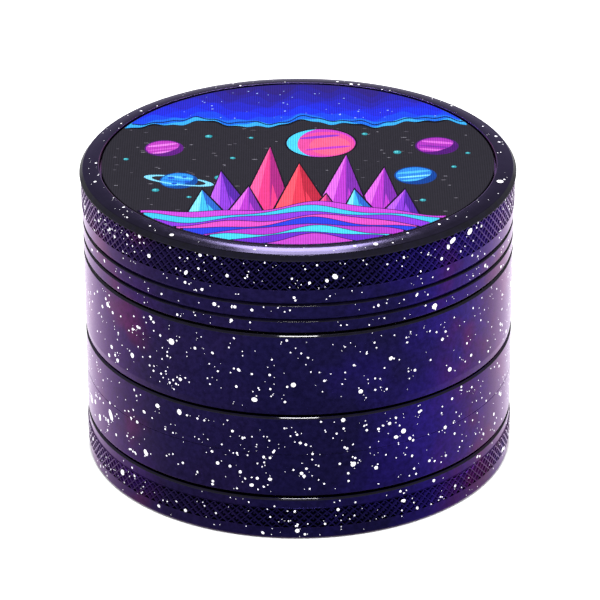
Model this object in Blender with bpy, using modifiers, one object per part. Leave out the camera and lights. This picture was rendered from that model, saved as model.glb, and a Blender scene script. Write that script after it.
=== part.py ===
"""Herb grinder: four turned aluminium pieces, stacked and screwed together.

From the table up they are the catcher, the storage chamber with its screen, the grinding chamber and the lid.
Every piece is turned about the Z axis, which is also the axis of each thread and of the lid.
A piece is modelled with z = 0 at the lower edge of its outer wall and is placed by its location.
"""

import math

import bmesh
import bpy
from mathutils import Matrix

MM = 0.001

# Body
BODY_RADIUS = 31.2 * MM
CATCHER_HEIGHT = 6.6 * MM
STORAGE_HEIGHT = 12.65 * MM
CHAMBER_HEIGHT = 12.5 * MM
LID_HEIGHT = 12.35 * MM
SEAM_GAP = 0.3 * MM  # between the outer edges of two pieces
EDGE_CHAMFER = 0.25 * MM
CLEARANCE = 0.3 * MM  # round and under every piece that sits in another
SEGMENTS = 48

# Knurled bands
KNURL_HEIGHT_ABOVE_WALL = 0.12 * MM
LID_KNURL_BOTTOM = 6.65 * MM
LID_KNURL_TO_RIM = 1.15 * MM
CATCHER_KNURL_BOTTOM = 1.93 * MM
CATCHER_KNURL_WIDTH = 3.17 * MM
FOOT_CHAMFER = 0.35 * MM

# Lid
RIM_OVERHANG = 0.3 * MM
RIM_FLAT_WIDTH = 2.1 * MM
RIM_CHAMFER_WIDTH = 0.8 * MM
RIM_CHAMFER_HEIGHT = 1.0 * MM
SKIRT_WALL = 1.9 * MM
LID_PLATE = 4.0 * MM
GROOVE_LEVELS = (4.68 * MM, 2.29 * MM)
GROOVE_WIDTH = 0.4 * MM
GROOVE_DEPTH = 0.45 * MM
PICTURE_THICKNESS = 0.65 * MM
PICTURE_BELOW_RIM = 0.05 * MM

# Slip ring and the collar that it runs on
SLIP_RING_WALL = 0.9 * MM
SLIP_RING_HEIGHT = 2.4 * MM
COLLAR_WALL = 2.2 * MM
COLLAR_END_GAP = 1.0 * MM

# Chamber floor, teeth, drop holes
FLOOR_DROP = 1.85 * MM  # from the chamber's shoulder down to its floor
FLOOR_THICKNESS = 2.6 * MM
TOOTH_LENGTH = 4.6 * MM
TOOTH_WIDTH = 2.7 * MM
TOOTH_SIDE_GAP = 0.6 * MM
TOOTH_END_GAP = 0.6 * MM
TOOTH_TIP_SHARE = 0.82  # width of a tooth's end beside its root
TOOTH_SPACING = 9.5 * MM
HOLE_RADIUS = 1.65 * MM
HOLE_SPACING = 10.0 * MM
HOLE_SEGMENTS = 12

# Magnets and the posts that hold them
MAGNET_RADIUS = 5.0 * MM
MAGNET_THICKNESS = 3.0 * MM
MAGNET_RECESS = 0.2 * MM
POST_WALL = 1.2 * MM
POST_GAP = 0.6 * MM
MAGNET_SEGMENTS = 32

# Threads: a single ridge on the sleeve and one in the socket, half a pitch apart
THREAD_PITCH = 2.0 * MM
THREAD_DEPTH = 0.7 * MM
THREAD_ROOT_GAP = 0.4 * MM
RIDGE_ROOT_WIDTH = 1.0 * MM
RIDGE_CREST_WIDTH = 0.5 * MM
RIDGE_SUNK = 0.3 * MM
SOCKET_WALL = 1.9 * MM
SLEEVE_WALL = 2.3 * MM
SLEEVE_END_GAP = 0.4 * MM
CHAMBER_SLEEVE_LENGTH = 5.1 * MM
STORAGE_SLEEVE_LENGTH = 3.7 * MM
THREAD_END_MARGIN = 0.2 * MM  # plain wall left between a ridge and the end of its piece

# Storage chamber, screen and catcher
BORE_STEP = 0.2 * MM  # the plain bore below a socket is this much tighter than its thread
LEDGE_THICKNESS = 1.2 * MM
SCREEN_THICKNESS = 0.4 * MM
SCREEN_RING_WIDTH = 1.8 * MM
SCREEN_RING_HEIGHT = 1.2 * MM
CATCHER_FLOOR = 1.5 * MM
BOWL_FILLET = 0.7 * MM
FILLET_STEPS = 3

# Height of each piece above the one that carries it
storage_rise = CATCHER_HEIGHT + SEAM_GAP
chamber_rise = STORAGE_HEIGHT + SEAM_GAP
lid_rise = CHAMBER_HEIGHT + SEAM_GAP

# Radii that follow
knurl_radius = BODY_RADIUS + KNURL_HEIGHT_ABOVE_WALL
rim_radius = BODY_RADIUS + RIM_OVERHANG
recess_radius = rim_radius - RIM_CHAMFER_WIDTH - RIM_FLAT_WIDTH
skirt_bore = BODY_RADIUS - SKIRT_WALL
slip_ring_radius = skirt_bore - CLEARANCE
collar_radius = slip_ring_radius - SLIP_RING_WALL - CLEARANCE
collar_bore = collar_radius - COLLAR_WALL
pocket_radius = MAGNET_RADIUS + CLEARANCE
post_radius = pocket_radius + POST_WALL
socket_root = BODY_RADIUS - SOCKET_WALL
socket_crest = socket_root - THREAD_DEPTH
sleeve_crest = socket_root - THREAD_ROOT_GAP
sleeve_root = sleeve_crest - THREAD_DEPTH
sleeve_bore = sleeve_root - SLEEVE_WALL
plain_bore = socket_crest - BORE_STEP

# The ridge is wider inside the wall that it is joined to
ridge_slope = (RIDGE_ROOT_WIDTH - RIDGE_CREST_WIDTH) / THREAD_DEPTH
ridge_sunk_half = (RIDGE_ROOT_WIDTH + ridge_slope * RIDGE_SUNK) / 2

# Levels inside the grinding chamber, measured from the lower edge of its outer wall
floor_top = CHAMBER_HEIGHT - FLOOR_DROP
floor_underside = floor_top - FLOOR_THICKNESS
plate_underside = lid_rise + LID_HEIGHT - LID_PLATE
collar_top = plate_underside - COLLAR_END_GAP
post_meeting = (floor_top + plate_underside) / 2


def empty_scene():
    for old in list(bpy.data.objects):
        bpy.data.objects.remove(old, do_unlink=True)


def collection(name):
    made = bpy.data.collections.new(name)
    bpy.context.scene.collection.children.link(made)
    return made


def material(name, colour, roughness, metallic):
    made = bpy.data.materials.new(name)
    made.use_nodes = True
    shader = made.node_tree.nodes["Principled BSDF"]
    shader.inputs["Base Color"].default_value = (*colour, 1.0)
    shader.inputs["Roughness"].default_value = roughness
    shader.inputs["Metallic"].default_value = metallic
    return made


def new_object(name, mesh, group):
    made = bpy.data.objects.new(name, mesh)
    group.objects.link(made)
    return made


def helper(name, mesh):
    """A cutter or a piece to join on, which never shows by itself."""
    made = new_object(name, mesh, helpers)
    made.hide_render = True
    made.display_type = "WIRE"
    return made


def screw(made, steps, angle=math.tau, rise=0.0):
    """Turns a profile about Z, with a rise for a helix."""
    modifier = made.modifiers.new("Turn", "SCREW")
    modifier.axis = "Z"
    modifier.angle = angle
    modifier.screw_offset = rise
    modifier.steps = steps
    modifier.render_steps = steps
    modifier.use_merge_vertices = rise == 0.0
    modifier.merge_threshold = 0.00001


def profile_mesh(name, points, closed):
    """Edges through (radius, height) points. A closed outline is a ring, an open one starts and ends on the axis."""
    count = len(points)
    last = count if closed else count - 1
    edges = [(i, (i + 1) % count) for i in range(last)]
    mesh = bpy.data.meshes.new(name)
    mesh.from_pydata([(radius, 0.0, height) for radius, height in points], edges, [])
    return mesh


def turned(name, points, closed=False, segments=SEGMENTS):
    """A turned piece. The outline goes up inside and down outside."""
    made = new_object(name, profile_mesh(name, points, closed), grinder)
    screw(made, segments)
    return made


def combine(made, tool, operation):
    modifier = made.modifiers.new(tool.name, "BOOLEAN")
    modifier.operation = operation
    modifier.object = tool


def settled_mesh(made):
    """The mesh that an object's modifiers make."""
    graph = bpy.context.evaluated_depsgraph_get()
    return bpy.data.meshes.new_from_object(made.evaluated_get(graph))


def settle(made, finish, place=0.0, parent=None):
    """Applies a piece's modifiers, shades it, and puts it at its height on the piece that carries it."""
    mesh = settled_mesh(made)
    made.modifiers.clear()
    made.data = mesh
    mesh.shade_smooth()
    mesh.set_sharp_from_angle(angle=math.radians(30))
    mesh.materials.clear()
    mesh.materials.append(finish)
    made.parent = parent
    made.location = (0.0, 0.0, place)
    return made


def fillet(centre_radius, centre_height, radius, start, end):
    """Points of an arc in the profile's plane, from one angle to another."""
    angles = [start + (end - start) * i / FILLET_STEPS for i in range(FILLET_STEPS + 1)]
    return [
        (centre_radius + radius * math.cos(a), centre_height + radius * math.sin(a))
        for a in angles
    ]


def groove(level):
    """The profile of a turned groove, going down the outer wall."""
    half = GROOVE_WIDTH / 2
    return [
        (BODY_RADIUS, level + half),
        (BODY_RADIUS - GROOVE_DEPTH, level + half),
        (BODY_RADIUS - GROOVE_DEPTH, level - half),
        (BODY_RADIUS, level - half - EDGE_CHAMFER),
    ]


def ridge(name, root, crest, start, top):
    """A closed helical ridge from one height up to the end of its wall, to be joined to that wall."""
    outward = 1 if crest > root else -1
    sunk = root - outward * RIDGE_SUNK
    crest_half = RIDGE_CREST_WIDTH / 2
    turns = (top - THREAD_END_MARGIN - ridge_sunk_half - start) / THREAD_PITCH
    outline = [
        (sunk, start + ridge_sunk_half),
        (crest, start + crest_half),
        (crest, start - crest_half),
        (sunk, start - ridge_sunk_half),
    ]
    rough = helper(name, profile_mesh(name, outline, closed=True))
    screw(rough, round(SEGMENTS * turns), math.tau * turns, THREAD_PITCH * turns)
    mesh = settled_mesh(rough)
    rough.modifiers.clear()
    rough.data = mesh
    shape = bmesh.new()
    shape.from_mesh(mesh)
    bmesh.ops.holes_fill(shape, edges=shape.edges)
    bmesh.ops.recalc_face_normals(shape, faces=shape.faces)
    shape.to_mesh(mesh)
    shape.free()
    return rough


def sleeve_ridge_start(sleeve_end):
    """Height of the ridge where it starts, at a sleeve's free end. A socket's ridge starts half a pitch above."""
    return sleeve_end + THREAD_END_MARGIN + ridge_sunk_half


def tooth_rings():
    """Radii of the circles of teeth, evenly spaced between the post and the collar."""
    room = collar_bore - post_radius
    count = int(room / (TOOTH_WIDTH + TOOTH_SIDE_GAP))
    return [post_radius + room * (i + 0.5) / count for i in range(count)]


def around(radius, spacing):
    """Angles of the most items that fit on a circle at a spacing."""
    count = int(math.tau * radius / spacing)
    return [math.tau * i / count for i in range(count)]


def teeth(name, radii, root_level, tip_level):
    """Diamond teeth in circles, joined into one helper. Each is a four-sided cone, wider at its root."""
    shape = bmesh.new()
    height = abs(tip_level - root_level) + RIDGE_SUNK
    upward = tip_level > root_level
    middle = tip_level - height / 2 if upward else tip_level + height / 2
    for radius in radii:
        for angle in around(radius, TOOTH_SPACING):
            place = (
                Matrix.Rotation(angle, 4, "Z")
                @ Matrix.Translation((radius, 0.0, middle))
                @ Matrix.Diagonal((TOOTH_WIDTH / 2, TOOTH_LENGTH / 2, 1.0, 1.0))
            )
            bmesh.ops.create_cone(
                shape,
                cap_ends=True,
                segments=4,
                radius1=1.0 if upward else TOOTH_TIP_SHARE,
                radius2=TOOTH_TIP_SHARE if upward else 1.0,
                depth=height,
                matrix=place,
            )
    mesh = bpy.data.meshes.new(name)
    shape.to_mesh(mesh)
    shape.free()
    return helper(name, mesh)


def drop_holes(radii):
    """Round holes through the chamber's floor, as one cutter."""
    shape = bmesh.new()
    middle = (floor_top + floor_underside) / 2
    for radius in radii:
        for angle in around(radius, HOLE_SPACING):
            place = Matrix.Rotation(angle, 4, "Z") @ Matrix.Translation((radius, 0.0, middle))
            bmesh.ops.create_cone(
                shape,
                cap_ends=True,
                segments=HOLE_SEGMENTS,
                radius1=HOLE_RADIUS,
                radius2=HOLE_RADIUS,
                depth=FLOOR_THICKNESS * 2,
                matrix=place,
            )
    mesh = bpy.data.meshes.new("drop_hole_cutter")
    shape.to_mesh(mesh)
    shape.free()
    return helper("drop_hole_cutter", mesh)


def disc(name, radius, thickness, segments=SEGMENTS):
    """A flat round piece with chamfered edges, z = 0 at its underside."""
    chamfer = min(EDGE_CHAMFER, thickness / 3) / 2
    return turned(
        name,
        [
            (0.0, thickness),
            (radius - chamfer, thickness),
            (radius, thickness - chamfer),
            (radius, chamfer),
            (radius - chamfer, 0.0),
            (0.0, 0.0),
        ],
        segments=segments,
    )


def ring(name, outer, inner, height):
    """A plain ring with chamfered outer edges, z = 0 at its underside."""
    chamfer = min(EDGE_CHAMFER, height / 3, (outer - inner) / 3)
    return turned(
        name,
        [
            (inner, height),
            (outer - chamfer, height),
            (outer, height - chamfer),
            (outer, chamfer),
            (outer - chamfer, 0.0),
            (inner, 0.0),
        ],
        closed=True,
    )


def make_catcher(finish):
    """The shallow bowl at the bottom, with the socket that the storage chamber screws into."""
    knurl_top = CATCHER_KNURL_BOTTOM + CATCHER_KNURL_WIDTH
    socket_floor = storage_rise - STORAGE_SLEEVE_LENGTH - SLEEVE_END_GAP
    points = [(0.0, CATCHER_FLOOR)]
    points += fillet(
        plain_bore - BOWL_FILLET,
        CATCHER_FLOOR + BOWL_FILLET,
        BOWL_FILLET,
        -math.pi / 2,
        0.0,
    )
    points += [
        (plain_bore, socket_floor),
        (socket_root, socket_floor),
        (socket_root, CATCHER_HEIGHT - EDGE_CHAMFER),
        (socket_root + EDGE_CHAMFER, CATCHER_HEIGHT),
        (BODY_RADIUS - EDGE_CHAMFER, CATCHER_HEIGHT),
        (BODY_RADIUS, CATCHER_HEIGHT - EDGE_CHAMFER),
        (BODY_RADIUS, knurl_top),
        (knurl_radius, knurl_top),
        (knurl_radius, CATCHER_KNURL_BOTTOM),
        (BODY_RADIUS, CATCHER_KNURL_BOTTOM),
        (BODY_RADIUS, FOOT_CHAMFER),
        (BODY_RADIUS - FOOT_CHAMFER, 0.0),
        (0.0, 0.0),
    ]
    made = turned("catcher", points)
    start = sleeve_ridge_start(storage_rise - STORAGE_SLEEVE_LENGTH) + THREAD_PITCH / 2
    combine(made, ridge("catcher_ridge", socket_root, socket_crest, start, CATCHER_HEIGHT), "UNION")
    return settle(made, finish)


def make_storage_chamber(finish, catcher):
    """The open tube that holds the ground herb, with a ledge for the screen and a thread at each end."""
    socket_floor = chamber_rise - CHAMBER_SLEEVE_LENGTH - SLEEVE_END_GAP
    points = [
        (BODY_RADIUS - EDGE_CHAMFER, STORAGE_HEIGHT),
        (BODY_RADIUS, STORAGE_HEIGHT - EDGE_CHAMFER),
        (BODY_RADIUS, EDGE_CHAMFER),
        (BODY_RADIUS - EDGE_CHAMFER, 0.0),
        (sleeve_root, 0.0),
        (sleeve_root, EDGE_CHAMFER - STORAGE_SLEEVE_LENGTH),
        (sleeve_root - EDGE_CHAMFER, -STORAGE_SLEEVE_LENGTH),
        (sleeve_bore, -STORAGE_SLEEVE_LENGTH),
        (sleeve_bore, LEDGE_THICKNESS),
        (plain_bore, LEDGE_THICKNESS),
        (plain_bore, socket_floor),
        (socket_root, socket_floor),
        (socket_root, STORAGE_HEIGHT - EDGE_CHAMFER),
        (socket_root + EDGE_CHAMFER, STORAGE_HEIGHT),
    ]
    made = turned("storage_chamber", points, closed=True)
    start = sleeve_ridge_start(-STORAGE_SLEEVE_LENGTH)
    combine(made, ridge("storage_sleeve_ridge", sleeve_root, sleeve_crest, start, 0.0), "UNION")
    start = sleeve_ridge_start(chamber_rise - CHAMBER_SLEEVE_LENGTH) + THREAD_PITCH / 2
    socket_ridge = ridge("storage_socket_ridge", socket_root, socket_crest, start, STORAGE_HEIGHT)
    combine(made, socket_ridge, "UNION")
    return settle(made, finish, storage_rise, catcher)


def make_grinding_chamber(finish, storage):
    """The toothed floor with its drop holes, the collar that the lid turns on, and the sleeve below."""
    post_top = post_meeting - POST_GAP / 2
    pocket_floor = post_top - MAGNET_RECESS - MAGNET_THICKNESS - CLEARANCE
    points = [
        (0.0, pocket_floor),
        (pocket_radius, pocket_floor),
        (pocket_radius, post_top),
        (post_radius, post_top),
        (post_radius, floor_top),
        (collar_bore, floor_top),
        (collar_bore, collar_top),
        (collar_radius - EDGE_CHAMFER, collar_top),
        (collar_radius, collar_top - EDGE_CHAMFER),
        (collar_radius, CHAMBER_HEIGHT),
        (BODY_RADIUS - EDGE_CHAMFER, CHAMBER_HEIGHT),
        (BODY_RADIUS, CHAMBER_HEIGHT - EDGE_CHAMFER),
        (BODY_RADIUS, EDGE_CHAMFER),
        (BODY_RADIUS - EDGE_CHAMFER, 0.0),
        (sleeve_root, 0.0),
        (sleeve_root, EDGE_CHAMFER - CHAMBER_SLEEVE_LENGTH),
        (sleeve_root - EDGE_CHAMFER, -CHAMBER_SLEEVE_LENGTH),
        (sleeve_bore, -CHAMBER_SLEEVE_LENGTH),
        (sleeve_bore, floor_underside),
        (0.0, floor_underside),
    ]
    made = turned("grinding_chamber", points)
    rings = tooth_rings()
    combine(made, drop_holes(rings[0::2]), "DIFFERENCE")
    tip = plate_underside - TOOTH_END_GAP
    combine(made, teeth("chamber_teeth", rings[1::2], floor_top, tip), "UNION")
    start = sleeve_ridge_start(-CHAMBER_SLEEVE_LENGTH)
    combine(made, ridge("chamber_sleeve_ridge", sleeve_root, sleeve_crest, start, 0.0), "UNION")
    return settle(made, finish, chamber_rise, storage)


def make_lid(finish, chamber):
    """The knurled lid, with teeth that pass between the chamber's, and a recess for the picture."""
    underside = plate_underside - lid_rise
    post_end = post_meeting + POST_GAP / 2 - lid_rise
    pocket_end = post_end + MAGNET_RECESS + MAGNET_THICKNESS + CLEARANCE
    recess_floor = LID_HEIGHT - PICTURE_BELOW_RIM - PICTURE_THICKNESS - CLEARANCE
    knurl_top = LID_HEIGHT - LID_KNURL_TO_RIM
    points = [
        (0.0, recess_floor),
        (recess_radius, recess_floor),
        (recess_radius, LID_HEIGHT),
        (recess_radius + RIM_FLAT_WIDTH, LID_HEIGHT),
        (rim_radius, LID_HEIGHT - RIM_CHAMFER_HEIGHT),
        (rim_radius, knurl_top),
        (knurl_radius, knurl_top),
        (knurl_radius, LID_KNURL_BOTTOM),
        (BODY_RADIUS, LID_KNURL_BOTTOM),
    ]
    for level in GROOVE_LEVELS:
        points += groove(level)
    points += [
        (BODY_RADIUS, EDGE_CHAMFER),
        (BODY_RADIUS - EDGE_CHAMFER, 0.0),
        (skirt_bore, 0.0),
        (skirt_bore, underside),
        (post_radius, underside),
        (post_radius, post_end),
        (pocket_radius, post_end),
        (pocket_radius, pocket_end),
        (0.0, pocket_end),
    ]
    made = turned("lid", points)
    tip = floor_top + TOOTH_END_GAP - lid_rise
    combine(made, teeth("lid_teeth", tooth_rings()[0::2], underside, tip), "UNION")
    return settle(made, finish, lid_rise, chamber)


def make_fittings(lid, chamber, storage):
    """The picture, the magnets, the slip ring and the screen, each on the piece that carries it."""
    picture = disc("picture_disc", recess_radius - CLEARANCE, PICTURE_THICKNESS)
    picture_level = LID_HEIGHT - PICTURE_BELOW_RIM - PICTURE_THICKNESS
    settle(picture, material("printed_sheet", (0.035, 0.03, 0.06), 0.25, 0.0), picture_level, lid)

    nickel = material("nickel", (0.75, 0.74, 0.71), 0.18, 1.0)
    lid_magnet = disc("lid_magnet", MAGNET_RADIUS, MAGNET_THICKNESS, MAGNET_SEGMENTS)
    settle(lid_magnet, nickel, post_meeting + POST_GAP / 2 + MAGNET_RECESS - lid_rise, lid)

    chamber_magnet = disc("chamber_magnet", MAGNET_RADIUS, MAGNET_THICKNESS, MAGNET_SEGMENTS)
    magnet_level = post_meeting - POST_GAP / 2 - MAGNET_RECESS - MAGNET_THICKNESS
    settle(chamber_magnet, nickel.copy(), magnet_level, chamber)

    inner = slip_ring_radius - SLIP_RING_WALL
    slip_ring = ring("slip_ring", slip_ring_radius, inner, SLIP_RING_HEIGHT)
    nylon = material("nylon", (0.82, 0.8, 0.75), 0.45, 0.0)
    settle(slip_ring, nylon, CHAMBER_HEIGHT + CLEARANCE, chamber)

    screen = disc("screen_mesh", plain_bore - CLEARANCE, SCREEN_THICKNESS)
    screen_level = LEDGE_THICKNESS + CLEARANCE
    settle(screen, material("stainless_wire", (0.6, 0.6, 0.6), 0.35, 1.0), screen_level, storage)

    outer = plain_bore - CLEARANCE
    screen_ring = ring("screen_ring", outer, outer - SCREEN_RING_WIDTH, SCREEN_RING_HEIGHT)
    ring_level = screen_level + SCREEN_THICKNESS + CLEARANCE
    settle(screen_ring, material("bright_aluminium", (0.8, 0.8, 0.81), 0.3, 1.0), ring_level, storage)


def enamel(name):
    """Dark blue-violet paint over the aluminium."""
    return material(name, (0.02, 0.012, 0.07), 0.22, 0.3)


empty_scene()
grinder = collection("herb_grinder")
helpers = collection("helpers")
helpers.hide_render = True
catcher_piece = make_catcher(enamel("catcher_enamel"))
storage_piece = make_storage_chamber(enamel("storage_enamel"), catcher_piece)
chamber_piece = make_grinding_chamber(enamel("chamber_enamel"), storage_piece)
lid_piece = make_lid(enamel("lid_enamel"), chamber_piece)
make_fittings(lid_piece, chamber_piece, storage_piece)
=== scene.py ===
"""Herb grinder: the fine surface and the finishes of each turned piece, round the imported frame.

The grinder is turned aluminium, enamelled outside in a night-sky blue with thrown white droplets, and
anodised black inside. A printed sheet is let into its lid. Sizes in this file are in millimetres unless a
name says otherwise, and a mesh is scaled to metres as it is made.
"""

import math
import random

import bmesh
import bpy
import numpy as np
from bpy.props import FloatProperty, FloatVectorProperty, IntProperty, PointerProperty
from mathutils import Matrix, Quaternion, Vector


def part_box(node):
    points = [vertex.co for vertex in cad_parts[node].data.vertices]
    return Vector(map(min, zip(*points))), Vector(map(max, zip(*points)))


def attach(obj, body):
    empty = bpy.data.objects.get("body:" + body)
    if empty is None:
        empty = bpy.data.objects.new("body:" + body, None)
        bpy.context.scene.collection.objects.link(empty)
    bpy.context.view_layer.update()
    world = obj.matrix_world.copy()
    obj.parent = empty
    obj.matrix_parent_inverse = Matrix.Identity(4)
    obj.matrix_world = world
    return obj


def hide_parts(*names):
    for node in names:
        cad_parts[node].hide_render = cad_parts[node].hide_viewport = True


bl_info = {
    "name": "Herb Grinder",
    "version": (1, 0, 0),
    "blender": (4, 5, 0),
    "location": "3D View > Sidebar > Grinder",
    "description": "Makes the turned, knurled and enamelled pieces of a four-piece herb grinder",
    "category": "Add Mesh",
}

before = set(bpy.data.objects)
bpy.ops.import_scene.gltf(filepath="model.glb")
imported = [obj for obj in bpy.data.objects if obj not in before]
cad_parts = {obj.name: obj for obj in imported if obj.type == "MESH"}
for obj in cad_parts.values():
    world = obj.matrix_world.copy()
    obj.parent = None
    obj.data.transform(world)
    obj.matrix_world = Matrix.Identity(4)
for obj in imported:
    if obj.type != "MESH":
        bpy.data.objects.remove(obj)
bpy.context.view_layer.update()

MM = 0.001

# Which of a shell's finishes a stretch of its outline has
# RIM is enamel painted greyer, as a painted reflection on the rim's flat; EDGE_ENAMEL is painted nearly
# black, as painted shade on edges that face up.
ENAMEL, BLACK, RIM, EDGE_ENAMEL = 0, 1, 2, 3

# Levels and radii that the frame gives
body_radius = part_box("storage_chamber")[1].x / MM
rim_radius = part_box("lid")[1].x / MM
lid_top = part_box("lid")[1].z / MM
lid_tooth_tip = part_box("lid")[0].z / MM
chamber_tooth_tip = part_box("grinding_chamber")[1].z / MM
chamber_sleeve_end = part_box("grinding_chamber")[0].z / MM
storage_sleeve_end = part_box("storage_chamber")[0].z / MM


def wall(node):
    """Lowest and highest level of a piece's outer wall."""
    points = [vertex.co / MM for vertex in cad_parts[node].data.vertices]
    levels = [point.z for point in points if math.hypot(point.x, point.y) > body_radius - 1.0]
    return min(levels), max(levels)


lid_bottom = wall("lid")[0]
chamber_bottom, chamber_top = wall("grinding_chamber")
storage_bottom, storage_top = wall("storage_chamber")
catcher_top = wall("catcher")[1]

# Inside sizes, as the frame's solids have them
TOOTH_GAP = 0.6
SKIRT_BORE = 29.3
COLLAR_RADIUS = 27.8
COLLAR_BORE = 25.6
POST_RADIUS = 6.5
POCKET_RADIUS = 5.3
POST_HALF_GAP = 0.3
POCKET_DEPTH = 3.5
SLEEVE_ROOT = 28.2
SLEEVE_CREST = 28.9
SLEEVE_BORE = 25.9
SOCKET_ROOT = 29.3
SOCKET_CREST = 28.6
PLAIN_BORE = 28.4
RECESS_RADIUS = 28.6
RECESS_DEPTH = 1.0
EDGE = 0.25
FLOOR_THICKNESS = 2.6
plate_underside = chamber_tooth_tip + TOOTH_GAP
floor_top = lid_tooth_tip - TOOTH_GAP
floor_underside = floor_top - FLOOR_THICKNESS
collar_top = plate_underside - 1.0
post_meeting = (plate_underside + floor_top) / 2

THREAD_PITCH = 2.0
RIDGE_ROOT_HALF = 0.5
RIDGE_CREST_HALF = 0.22
FIRST_RIDGE = 0.807  # above a sleeve's end, where its ridge starts

TOOTH_RINGS = 5
TOOTH_SPACING = 9.5
TOOTH_LENGTH = 4.6
TOOTH_WIDTH = 2.7
TOOTH_TIP_SHARE = 0.82  # width of a tooth's end beside its root
HOLE_RADIUS = 1.65
HOLE_SPACING = 10.0

# Outside sizes
CORE_RADIUS = 2.0  # of the flat cap where an outline starts or ends
RIM_FLAT = 2.1
KNURL_LIFT = 0.12  # how far a knurled band stands out from its wall
CATCHER_KNURL = (5.05, 1.98)
SOCKET_ROOM = 0.4  # under a sleeve's end
SOCKET_RELIEF = 0.2  # plain run below a socket's thread
CHAMBER_RELIEF = 1.1  # height of the slight taper at the chamber's foot
lid_knurl = (lid_top - 1.2, lid_bottom + 6.7)
groove_levels = (lid_bottom + 4.68, lid_bottom + 2.29)

SHARP_ANGLE = math.radians(38)


def linear(code):
    """Linear RGB from an sRGB hex value."""
    parts = [int(code[place : place + 2], 16) / 255 for place in (1, 3, 5)]
    return tuple(part / 12.92 if part <= 0.04045 else ((part + 0.055) / 1.055) ** 2.4 for part in parts)


def length_property(name, description, size, **limits):
    """A length that a user may change, from a size in millimetres."""
    return FloatProperty(
        name=name, description=description, default=size * MM, precision=5, unit="LENGTH", **limits
    )


class GrinderSizes(bpy.types.PropertyGroup):
    """Sizes of the grinder's surface that a user may change."""

    knurl_depth: length_property("Knurl depth", "Depth of the knurled bands' pits, in metres", 0.34, min=0.0)
    knurl_count: IntProperty(
        name="Pits round a band",
        description="Pits in one turn of a knurled band",
        default=150,
        min=60,
        max=240,
    )
    groove_width: length_property("Groove width", "Width of the lid's two turned grooves, in metres", 0.4)
    groove_depth: length_property("Groove depth", "Depth of the lid's two turned grooves, in metres", 0.45)
    droplet_median: length_property("Droplet size", "Middle diameter of the thrown droplets, in metres", 0.2)
    droplets_per_square_mm: FloatProperty(
        name="Droplets per mm²", description="How densely the paint droplets lie", default=0.42, min=0.0
    )
    wire_pitch: length_property("Wire pitch", "Distance between the screen's wires, in metres", 1.2)


def colour_property(name, description, code):
    """A colour that a user may change, from an sRGB hex value."""
    return FloatVectorProperty(
        name=name, description=description, default=linear(code), size=3, min=0.0, max=1.0, subtype="COLOR"
    )


class GrinderColours(bpy.types.PropertyGroup):
    """Colours of the grinder's finishes that a user may change."""

    # Navy, indigo and violet run round the enamel as painted sheen, navy at the front and back and violet at
    # the sides, where the magenta clouds also lie.
    navy: colour_property("Navy", "Darkest blue of the enamel", "#100d2c")
    indigo: colour_property("Indigo", "Middle blue of the enamel", "#180f50")
    violet: colour_property("Violet", "Violet that the enamel turns to at the sides", "#230a3a")
    magenta: colour_property("Magenta", "Cloud patches in the enamel", "#420b30")
    # The rim's colour is painted greyer than the walls', a painted reflection of the up-facing flat.
    rim: colour_property("Rim", "Enamel on the lid's flat rim", "#1c1a25")
    droplet: colour_property("Droplet", "Thrown paint droplets", "#f4f2fa")
    anodised: colour_property("Anodised", "Black anodised inside", "#1d1c24")
    sheet: colour_property("Sheet", "Unprinted part of the lid's sheet", "#28262f")


# Mesh tools


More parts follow.
